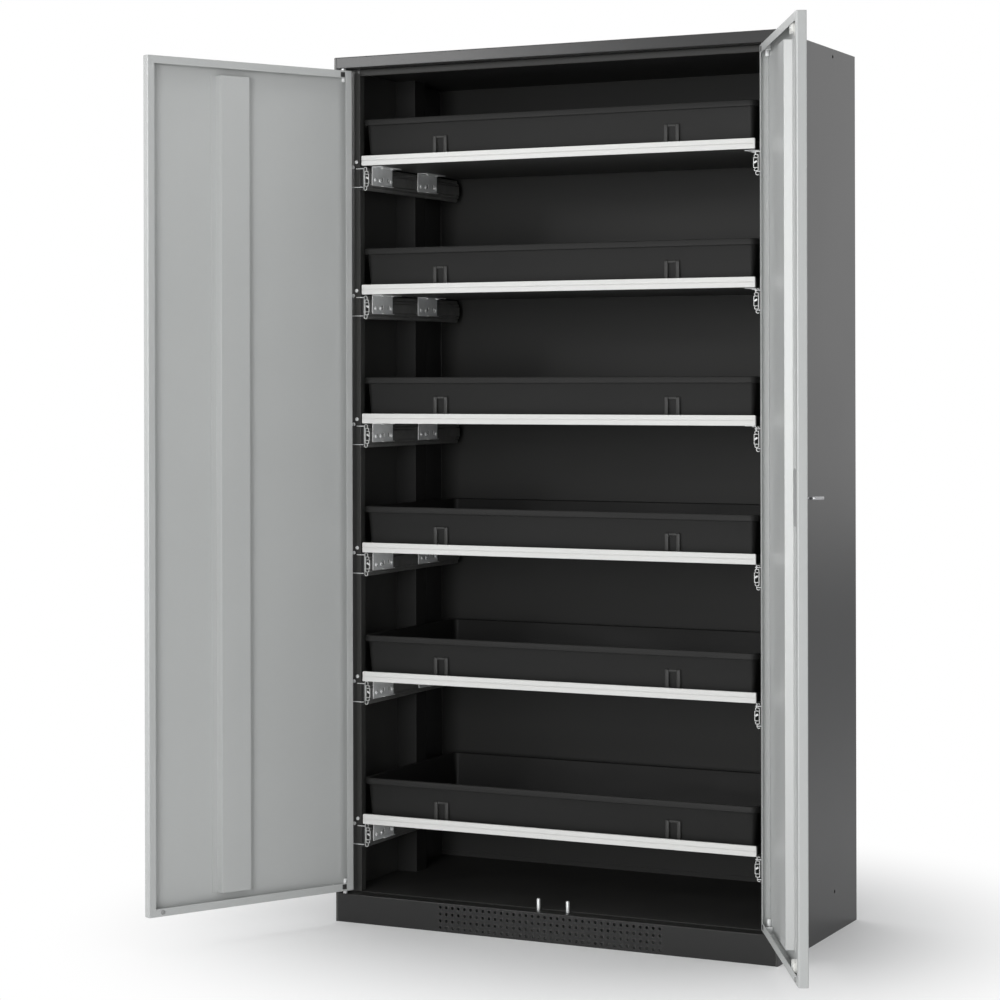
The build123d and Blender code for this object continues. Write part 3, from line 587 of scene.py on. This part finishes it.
def tray_catches(wall_y, catch_low):
    """Two open catches in front of a tray, each with two arms and a bar."""
    catch_front = wall_y - catch_height * tray_slope - catch_proud
    deep, middle_y = wall_y - catch_front, (wall_y + catch_front) / 2
    shape = bmesh.new()
    for x in (-catch_half_spacing, catch_half_spacing):
        for arm in (-1, 1):
            arm_x = x + arm * (catch_width - catch_arm) / 2
            block(
                shape, (catch_arm, deep, catch_height), (arm_x, middle_y, catch_low + catch_height / 2),
                catch_arm_edge, catch_rounds,
            )
        block(
            shape, (catch_width - catch_arm, deep - catch_bar_setback, catch_bar),
            (x, middle_y + catch_bar_setback / 2, catch_low + catch_height - catch_bar / 2),
            catch_bar_edge, catch_rounds,
        )
    return shape


def spill_trays():
    """The tray and its catches on each shelf."""
    for number in drawers:
        body = f"drawer_{number}"
        low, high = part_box(f"{body}_tray")
        half_x, half_y, rise = (high.x - low.x) / 2, (high.y - low.y) / 2, high.z - low.z
        foot = tray_overhang + rise * tray_slope
        shape = tray_shell(half_x, half_y, rise, foot)
        catch_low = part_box(f"{body}_front_bar")[1].z - catch_below_bar - low.z
        catches = tray_catches(foot - half_y, catch_low)
        middle = Vector(((low.x + high.x) / 2, (low.y + high.y) / 2, low.z))
        for made in (shape, catches):
            bmesh.ops.translate(made, vec=middle, verts=made.verts)
        finish_piece(f"{body}_spill_tray", shape, body, "tray_plastic", [f"{body}_tray"], tray_sharp_angle)
        finish_piece(f"{body}_tray_catches", catches, body, "tray_plastic", finish=lit_catch_finish)


def mirrored(upper):
    """A section whose lower half mirrors its upper half."""
    return upper + [(across, -up) for across, up in reversed(upper)]


# Telescopic slides. Points are (distance from the slide's wall, height from its middle).
channel_sheet = 0.0013
fixed_line = mirrored([(0.0086, 0.0185), (0.0086, 0.0265), (0, 0.0265)])
middle_line = mirrored([(0.0119, 0.0120), (0.0119, 0.0177), (0.0022, 0.0177)])
inner_line = mirrored([(0.0046, 0.0109), (0.0136, 0.0109)])
fixed_bend, middle_bend, inner_bend = 0.0040, 0.0024, 0.0012
# Stop tab across the mouth of the inner channel, with its slant in radians
tab_size, tab_edge = (0.0074, 0.0013, 0.0042), 0.0003
tab_across, tab_behind_front, tab_up, tab_slant = 0.0090, 0.0012, 0.0016, 0.55


def slide_place(side, number):
    """Frame of a slide: x from its wall into the cabinet, y along it and z up from its middle."""
    low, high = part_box(f"drawer_{number}_middle_rails")
    middle = Matrix.Translation((side * slide_wall, 0, (low.z + high.z) / 2))
    return middle @ Matrix.Diagonal((-side, 1, 1, 1))


def channel(shape, line, bend, place):
    """One channel of a slide, over its whole length."""
    folded_sheet(shape, line, bend, channel_sheet, slide_front, slide_rear, place)


def slide_channels():
    """Three nested channels a slide, with curled races and a painted highlight at the front ends."""
    for side, name in sides:
        fixed = bmesh.new()
        for number in drawers:
            channel(fixed, fixed_line, fixed_bend, slide_place(side, number))
        finish_piece(
            f"{name}_slide_channels", fixed, "cabinet", "zinc_plated_steel", [f"{name}_fixed_rails"],
            finish=slide_finish,
        )
    tab_place = Matrix.Translation((tab_across, slide_front + tab_behind_front, tab_up))
    tab_turn = tab_place @ Matrix.Rotation(tab_slant, 4, "Y")
    for number in drawers:
        middle, inner = bmesh.new(), bmesh.new()
        for side, _ in sides:
            place = slide_place(side, number)
            channel(middle, middle_line, middle_bend, place)
            channel(inner, inner_line, inner_bend, place)
            block(inner, tab_size, (0, 0, 0), tab_edge, 1, place @ tab_turn)
        finish_piece(
            f"drawer_{number}_middle_channels", middle, f"drawer_{number}_middle", "zinc_plated_steel",
            [f"drawer_{number}_middle_rails"], finish=slide_finish,
        )
        finish_piece(
            f"drawer_{number}_inner_channels", inner, f"drawer_{number}", "zinc_plated_steel",
            [f"drawer_{number}_runners"], finish=slide_finish,
        )


# Angle brackets between the slides and the shelves
bracket_face, bracket_sheet, bracket_leg = 0.0136, 0.0015, 0.0250
bracket_low, bracket_bend, bracket_top = -0.0145, 0.0235, 0.0285
bracket_length, bracket_corner, bracket_fold = 0.095, 0.0012, 0.0020
bracket_fronts = (cabinet_front + 0.055, cabinet_front + 0.276)
bracket_slots = [((0.002, -0.0035), (0.0060, 0.0110)), ((0.028, -0.0035), (0.0060, 0.0110))]
# Foot turned in along the lower edge
foot_width, foot_length, foot_along = 0.0070, 0.050, 0.068
# Screws into the slide and up into the shelf: places along the bracket, height or reach, radius and height
slide_screws, slide_screw_up, slide_screw_size = (0.014, 0.037, 0.088), -0.0015, (0.0046, 0.0024)
shelf_screws, shelf_screw_reach, shelf_screw_size = (0.024, 0.071), 0.0140, (0.0046, 0.0022)
upright_plate = Matrix(((0, 0, 1, 0), (1, 0, 0, 0), (0, 1, 0, 0), (0, 0, 0, 1)))


def angle_bracket(shape, side, place, front):
    """One bracket with slots, screws and a turned-in foot."""
    middle = Matrix.Translation((bracket_face, front + bracket_length / 2, (bracket_low + bracket_bend) / 2))
    slotted_plate(
        shape, (bracket_length, bracket_bend - bracket_low), bracket_corner, bracket_slots, bracket_sheet,
        place @ middle @ upright_plate,
    )
    folded_sheet(
        shape,
        [(bracket_face, bracket_bend), (bracket_face, bracket_top), (bracket_face + bracket_leg, bracket_top)],
        bracket_fold, bracket_sheet, front, front + bracket_length, place,
    )
    block(
        shape, (foot_width, foot_length, bracket_sheet),
        (bracket_face + foot_width / 2, front + foot_along, bracket_low + bracket_sheet / 2),
        sheet_edge, 1, place,
    )
    for along in slide_screws:
        seat = place @ Vector((bracket_face + bracket_sheet, front + along, slide_screw_up))
        pan_head(shape, seat, (-side, 0, 0), *slide_screw_size)
    for along in shelf_screws:
        seat = place @ Vector((bracket_face + shelf_screw_reach, front + along, bracket_top - bracket_sheet))
        pan_head(shape, seat, (0, 0, -1), *shelf_screw_size)


def angle_brackets():
    """Matt zinc brackets that carry each shelf from its slides."""
    for number in drawers:
        body, shape = f"drawer_{number}", bmesh.new()
        for side, _ in sides:
            for front in bracket_fronts:
                angle_bracket(shape, side, slide_place(side, number), front)
        finish_piece(f"{body}_angle_brackets", shape, body, "zinc_plated_steel", finish=bracket_finish)


# Hooks of the slide mounts: (inner end, outer end) in from the side's face, and height from the slide's middle
hook_spans = ((0.0595, 0.0385, 0.0222), (0.0550, 0.0275, -0.0196))
hook_depth, hook_sheet, hook_out = 0.0050, 0.0015, 0.0023
# Screws beside the hooks: place in from the side's face, and height from the slide's middle
hook_screws, hook_screw_out, hook_screw_size = ((0.0377, 0.0377), (0.0291, 0.0262)), 0.0002, (0.0042, 0.0024)


def flange_hooks():
    """Hooks of each slide's front mount: two turned edges and screws on the flange beside the opening."""
    for number in drawers:
        shape = bmesh.new()
        for side, _ in sides:
            middle = slide_place(side, number).translation.z
            for inner, outer, up in hook_spans:
                block(
                    shape, (inner - outer, hook_depth, hook_sheet),
                    (side * (side_face - (inner + outer) / 2), flange_face - hook_out, middle + up),
                    sheet_edge, 1,
                )
            for inward, up in hook_screws:
                seat = (side * (side_face - inward), flange_face - hook_screw_out, middle + up)
                pan_head(shape, seat, (0, -1, 0), *hook_screw_size)
        finish_piece(
            f"slide_{number}_flange_hooks", shape, "cabinet", "zinc_plated_steel", finish=bracket_finish
        )


# Doors, which rest open and are closed at the low end of their range
open_angle = -math.radians(joints["right_door_swing"]["range_deg"][0])


def leaf_frame(side):
    """Frame of an open door: x from the pivot to the free edge, y through its thickness, z up."""
    pivot = joints["right_door_swing"]["pos_m"]
    x_axis = Vector((-side * math.cos(open_angle), -math.sin(open_angle), 0))
    z_axis = Vector((0, 0, 1))
    turn = Matrix((x_axis, z_axis.cross(x_axis), z_axis)).transposed().to_4x4()
    return Matrix.Translation((side * pivot[0], pivot[1], 0)) @ turn


leaves = (("left_door", leaf_frame(-1), 1), ("right_door", leaf_frame(1), -1))

# Hinge plates: middle and length of each along the door, their depth, sheet and place in the corner
plate_spans = ((-0.0085, 0.0060), (0.0185, 0.0260))
plate_depth, plate_sheet, plate_out, plate_up = 0.0150, 0.0016, 0.0048, 0.0019
plate_end_along, plate_end_height = 0.0322, 0.0140
plate_screw_along, plate_screw_size = 0.0215, (0.0040, 0.0020)
# Pin end inside the corner, beyond the bush
pin_line = [(0, 0.0250), (0.0028, 0.0247), (0.0042, 0.0236), (0.0046, 0.0215), (0.0046, 0.0100), (0, 0.0100)]
pin_steps = 20
# Caps on the lips
cap_size, cap_edge = (0.0110, 0.0016, 0.0110), 0.0007
cap_along, cap_out, cap_up = 0.0112, 0.0147, 0.0095


def hinge_plates():
    """Plated plates and pin ends inside each door's hinge corners, with black caps on the lips."""
    for name, leaf, inward in leaves:
        shape, caps = bmesh.new(), bmesh.new()
        low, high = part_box(f"{name}_shell")
        out = inward * plate_out
        for wall, up in ((low.z, 1), (high.z, -1)):
            level = wall + up * plate_up
            for along, length in plate_spans:
                block(shape, (length, plate_depth, plate_sheet), (along, out, level), sheet_edge, 1, leaf)
            end_level = level + up * (plate_end_height - plate_sheet) / 2
            block(
                shape, (plate_sheet, plate_depth, plate_end_height), (plate_end_along, out, end_level),
                sheet_edge, 1, leaf,
            )
            seat = leaf @ Vector((plate_screw_along, out, level + up * plate_sheet / 2))
            pan_head(shape, seat, (0, 0, up), *plate_screw_size)
            turned(shape, pin_line, facing(leaf @ Vector((0, 0, wall)), (0, 0, up)), pin_steps)
            block(caps, cap_size, (cap_along, inward * cap_out, wall + up * cap_up), cap_edge, 2, leaf)
        finish_piece(f"{name}_hinge_plates", shape, name, "zinc_plated_steel", finish=bracket_finish)
        finish_piece(f"{name}_hinge_caps", caps, name, "nylon", finish=black_nylon)


# Blocks beside the rod guides: along the door from its pivot, and through its thickness
guide_block_start, guide_block_end = 0.402, 0.440
guide_block_seat, guide_block_face = 0.0045, -0.0130
guide_block_height, guide_block_from_end = 0.021, 0.022
guide_block_edge, guide_block_rounds, guide_screw_size = 0.0016, 3, (0.0040, 0.0015)


def guide_blocks():
    """Nylon blocks with a screw, beside the rod guides in the free corners of the right door."""
    name, leaf, inward = leaves[1]
    low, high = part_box(f"{name}_shell")
    middle_x = (guide_block_start + guide_block_end) / 2
    middle_y = (guide_block_seat + guide_block_face) / 2
    size = (guide_block_end - guide_block_start, guide_block_seat - guide_block_face, guide_block_height)
    shape, screws = bmesh.new(), bmesh.new()
    for level in (low.z + guide_block_from_end, high.z - guide_block_from_end):
        block(shape, size, (middle_x, middle_y, level), guide_block_edge, guide_block_rounds, leaf)
        seat = leaf @ Vector((middle_x, guide_block_face, level))
        pan_head(screws, seat, leaf.to_3x3() @ Vector((0, inward, 0)), *guide_screw_size)
    finish_piece("rod_guide_blocks", shape, name, "nylon")
    finish_piece("rod_guide_screws", screws, name, "zinc_plated_steel")


# Domed buffers: their profile, and half the height of the plain ones that they stand for
buffer_line = [(0, 0.0034), (0.0024, 0.0033), (0.0040, 0.0026), (0.0048, 0.0012), (0.0050, 0), (0, 0)]
buffer_half_height, buffer_steps = 0.00175, 20


def door_buffers():
    """Domed rubber buffers on the lower lips, opposite the stop pins."""
    for name, leaf, inward in leaves:
        middle = leaf.inverted() @ middle_of(f"{name}_buffer")
        seat = leaf @ Vector((middle.x, inward * (abs(middle.y) - buffer_half_height), middle.z))
        shape = bmesh.new()
        turned(shape, buffer_line, facing(seat, leaf.to_3x3() @ Vector((0, inward, 0))), buffer_steps)
        finish_piece(f"{name}_domed_buffer", shape, name, "buffer_rubber", [f"{name}_buffer"])


# Crown of a stop pin: points of (share of its radius, depth below the top)
crown_line, stop_pin_steps = [(0, 0), (0.55, 0), (0.85, 0.0006), (1, 0.0018)], 24


def stop_pins():
    """Round stop pins with a crowned end, one for each door."""
    low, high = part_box("stop_pins")
    radius = (high.y - low.y) / 2
    crown = [(share * radius, high.z - depth) for share, depth in crown_line]
    shape = bmesh.new()
    for x in (low.x + radius, high.x - radius):
        place = Matrix.Translation((x, (low.y + high.y) / 2, 0))
        turned(shape, crown + [(radius, low.z), (0, low.z)], place, stop_pin_steps)
    finish_piece("crowned_stop_pins", shape, "cabinet", node_slots["stop_pins"], ["stop_pins"])


# Lock
lock_centre = Vector(joints["lock_turn"]["pos_m"])
lock_outward = Vector(joints["lock_turn"]["axis"]).normalized()
lock_across = Vector((0, 0, 1)).cross(lock_outward)
rosette_line = [
    (0.00705, -0.0050), (0.00705, 0.0018), (0.0076, 0.0023), (0.0120, 0.0024), (0.0145, 0.0019),
    (0.0157, 0.0010), (0.0160, 0), (0.0092, 0), (0.0092, -0.0050), (0.00705, -0.0050),
]
rosette_steps = 40
key_stem, key_stem_out, key_stem_edge = (0.0080, 0.0180, 0.0020), 0.0050, 0.0003
key_bow, key_bow_corner, key_bow_thickness = (0.0240, 0.0290), 0.0095, 0.0058
key_bow_out, key_bow_edge, key_hole = 0.0235, 0.0009, ((0, 0.0075), (0.0070, 0.0070))


def lock_set():
    """Turned rosette on the door's face, and a key with a round bow in the lock."""
    rosette = bmesh.new()
    turned(rosette, rosette_line, facing(lock_centre, lock_outward), rosette_steps)
    finish_piece("turned_lock_rosette", rosette, "right_door", "nylon", ["lock_rosette"], finish=black_nylon)
    key = bmesh.new()
    turn = Matrix((lock_across, lock_outward, (0, 0, 1))).transposed().to_4x4()
    place = Matrix.Translation(lock_centre) @ turn
    block(key, key_stem, (0, key_stem_out, 0), key_stem_edge, 1, place)
    slotted_plate(
        key, key_bow, key_bow_corner, [key_hole], key_bow_thickness,
        place @ Matrix.Translation((0, key_bow_out, -key_bow_thickness / 2)), key_bow_edge,
    )
    finish_piece("round_bow_key", key, "lock", node_slots["lock_key"], ["lock_key"])


# Sheet-metal details of the body
lip_height, lip_seat, lip_return, lip_bend, lip_sheet = 0.015, 0.008, 0.005, 0.0016, 0.0012
flange_width, lip_end_gap = 0.047, 0.0005
vent_rows, vent_columns, vent_pitch, vent_steps = 4, 36, 0.015, 12
vent_rim_line = [
    (0.00325, 0.0011), (0.00325, -0.00005), (0.0036, -0.00025), (0.0043, -0.00022), (0.0047, 0.0001),
    (0.0047, 0.0011), (0.00325, 0.0011),
]
rivet_count, rivet_pitch, rivet_steps = 7, 0.155, 12
rivet_line = [
    (0, 0.0003), (0.0011, 0.0003), (0.0014, 0.0009), (0.0026, 0.0008), (0.0033, 0), (0.0033, -0.0003),
    (0, -0.0003),
]


def opening_lip():
    """Folded lip under the roof rim, between the side flanges, which closes the top of the opening."""
    rim_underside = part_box("roof")[0].z
    half_span = side_face - flange_width - lip_end_gap
    crosswise = Matrix(((0, 1, 0, 0), (1, 0, 0, flange_face), (0, 0, 1, rim_underside), (0, 0, 0, 1)))
    shape = bmesh.new()
    folded_sheet(
        shape, [(lip_seat, 0), (0, 0), (0, -lip_height), (lip_return, -lip_height)],
        lip_bend, lip_sheet, -half_span, half_span, crosswise,
    )
    finish_piece("opening_lip", shape, "cabinet", "body_paint", finish=inside_finish)


def vent_hole_rims():
    """Rolled rims that the punch leaves round the vent holes."""
    low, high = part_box("plinth")
    shape = bmesh.new()
    for up in evenly(vent_rows, vent_pitch):
        for x in evenly(vent_columns, vent_pitch):
            hole = (x, low.y, (low.z + high.z) / 2 + up)
            turned(shape, vent_rim_line, facing(hole, (0, 1, 0)), vent_steps)
    finish_piece("vent_hole_rims", shape, "cabinet", "body_paint", finish=plinth_finish)


def panel_rivets():
    """Blind rivets that hold the rear panel to the upturned edges of the floor and ceiling panels."""
    panel_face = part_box("rear_panel")[1].y
    shape = bmesh.new()
    for panel in ("floor_panel", "ceiling_panel"):
        for x in evenly(rivet_count, rivet_pitch):
            turned(shape, rivet_line, facing((x, panel_face, middle_of(panel).z), (0, 1, 0)), rivet_steps)
    finish_piece("rear_rivets", shape, "cabinet", "body_paint")


spill_trays()
slide_channels()
angle_brackets()
flange_hooks()
hinge_plates()
guide_blocks()
door_buffers()
stop_pins()
lock_set()
opening_lip()
vent_hole_rims()
panel_rivets()

# Studio. Brightness of the front wall in reflections: at its foot, at its top, and (place, level) between them.
wall_foot, wall_top = 0.9, 0.55
wall_levels = ((0.40, 0.9), (0.43, 0.42), (0.53, 0.42), (0.56, 1.0), (0.62, 1.0), (0.66, 0.45))
soft_colour, soft_strength = (0.97, 0.985, 1.0, 1), 0.34
floor_radius, floor_colour = 14.0, (0.92, 0.92, 0.92, 1)
# Distances from the cabinet's middle between which the floor fades to white
fade_start, fade_end = 0.4, 1.25


def studio_world():
    """White all round for the eye and for reflections, with a duller front wall between two bright strips."""
    world = bpy.data.worlds.new("studio")
    world.use_nodes = True
    tree = world.node_tree
    tree.nodes.clear()
    aim = put(tree, "ShaderNodeSeparateXYZ", {0: put(tree, "ShaderNodeTexCoord").outputs["Generated"]})
    strips = put(tree, "ShaderNodeValToRGB", {0: span(tree, aim.outputs["Z"], 0.0, 1.0, start=-0.5, end=0.5)})
    ramp = strips.color_ramp
    for element, place, level in ((ramp.elements[0], 0.0, wall_foot), (ramp.elements[1], 1.0, wall_top)):
        element.position, element.color = place, (level, level, level, 1)
    for place, level in wall_levels:
        ramp.elements.new(place).color = (level, level, level, 1)
    behind = span(tree, aim.outputs["Y"], 0.0, 1.0, start=-0.15, end=0.25)
    seen_in_gloss = blend(tree, behind, strips.outputs[0], (1.0, 1.0, 1.0))
    path = put(tree, "ShaderNodeLightPath")
    soft = put(tree, "ShaderNodeBackground", {"Color": soft_colour, "Strength": soft_strength})
    gloss = put(tree, "ShaderNodeBackground", {"Color": seen_in_gloss, "Strength": 1.0})
    white = put(tree, "ShaderNodeBackground", {"Color": (1, 1, 1, 1), "Strength": 1.0})
    lit = put(
        tree, "ShaderNodeMixShader",
        {0: path.outputs["Is Glossy Ray"], 1: soft.outputs[0], 2: gloss.outputs[0]},
    )
    clear = sums(tree, "MAXIMUM", path.outputs["Is Camera Ray"], path.outputs["Is Transmission Ray"])
    shown = put(tree, "ShaderNodeMixShader", {0: clear, 1: lit.outputs[0], 2: white.outputs[0]})
    put(tree, "ShaderNodeOutputWorld", {"Surface": shown.outputs[0]})
    bpy.context.scene.world = world


def studio_floor():
    """Pale floor that keeps the shadow near the cabinet and fades to white further off."""
    mesh = bmesh.new()
    bmesh.ops.create_circle(mesh, cap_ends=True, segments=96, radius=floor_radius)
    data = bpy.data.meshes.new("studio_floor")
    mesh.to_mesh(data)
    mesh.free()
    floor = bpy.data.objects.new("studio_floor", data)
    bpy.context.scene.collection.objects.link(floor)
    finish = bpy.data.materials.new("pale_floor")
    finish.use_nodes = True
    tree = finish.node_tree
    tree.nodes.clear()
    place = put(tree, "ShaderNodeTexCoord").outputs["Object"]
    far = put(tree, "ShaderNodeVectorMath", {0: place}, operation="LENGTH").outputs["Value"]
    fade = put(
        tree, "ShaderNodeMapRange", {0: far, 1: fade_start, 2: fade_end, 3: 0.0, 4: 1.0},
        interpolation_type="SMOOTHSTEP",
    ).outputs[0]
    seen = put(tree, "ShaderNodeLightPath").outputs["Is Camera Ray"]
    matt = put(tree, "ShaderNodeBsdfDiffuse", {"Color": floor_colour})
    glow = put(tree, "ShaderNodeEmission", {"Color": (1, 1, 1, 1), "Strength": 1.0})
    mixed = put(
        tree, "ShaderNodeMixShader",
        {0: sums(tree, "MULTIPLY", fade, seen), 1: matt.outputs[0], 2: glow.outputs[0]},
    )
    put(tree, "ShaderNodeOutputMaterial", {"Surface": mixed.outputs[0]})
    data.materials.append(finish)


def lamp(name, place, target, width, height, power):
    """A soft rectangular studio lamp."""
    data = bpy.data.lights.new(name, "AREA")
    data.shape, data.size, data.size_y, data.energy = "RECTANGLE", width, height, power
    made = bpy.data.objects.new(name, data)
    bpy.context.scene.collection.objects.link(made)
    made.location = place
    made.rotation_euler = (Vector(target) - Vector(place)).to_track_quat("-Z", "Y").to_euler()


# Camera, with its turn to the left and its roll in degrees
camera_place, camera_turn, camera_roll = (2.3612, -5.3100, 1.2222), 26.097, -0.125
camera_sensor, camera_lens, camera_shift = 36.0, 92.52, -0.1204


def studio_camera():
    """Camera at the photograph's place, found from the cabinet's corners."""
    data = bpy.data.cameras.new("camera")
    data.sensor_width, data.lens, data.shift_y = camera_sensor, camera_lens, camera_shift
    made = bpy.data.objects.new("camera", data)
    bpy.context.scene.collection.objects.link(made)
    made.location = camera_place
    level = Matrix.Rotation(math.radians(camera_turn), 4, "Z") @ Matrix.Rotation(math.radians(90), 4, "X")
    made.rotation_euler = (level @ Matrix.Rotation(math.radians(camera_roll), 4, "Z")).to_euler()
    bpy.context.scene.camera = made


studio_world()
studio_floor()
lamp("key_lamp", (-8.0, -4.6, 2.2), (0, -0.3, 0.95), width=4.0, height=3.4, power=110)
lamp("fill_lamp", (8.4, -4.2, 1.7), (0, -0.3, 0.95), width=4.0, height=3.4, power=45)
lamp("front_lamp", (0.8, -7.4, 1.5), (0, 0, 0.95), width=2.6, height=2.4, power=205)
lamp("rim_lamp", (-3.4, -5.0, 2.65), (0, 0, 1.6), width=1.8, height=0.7, power=62)
lamp("top_lamp", (0, 0.2, 4.8), (0, 0, 0), width=3.4, height=3.0, power=105)
studio_camera()
bpy.context.scene.view_settings.view_transform = "Standard"
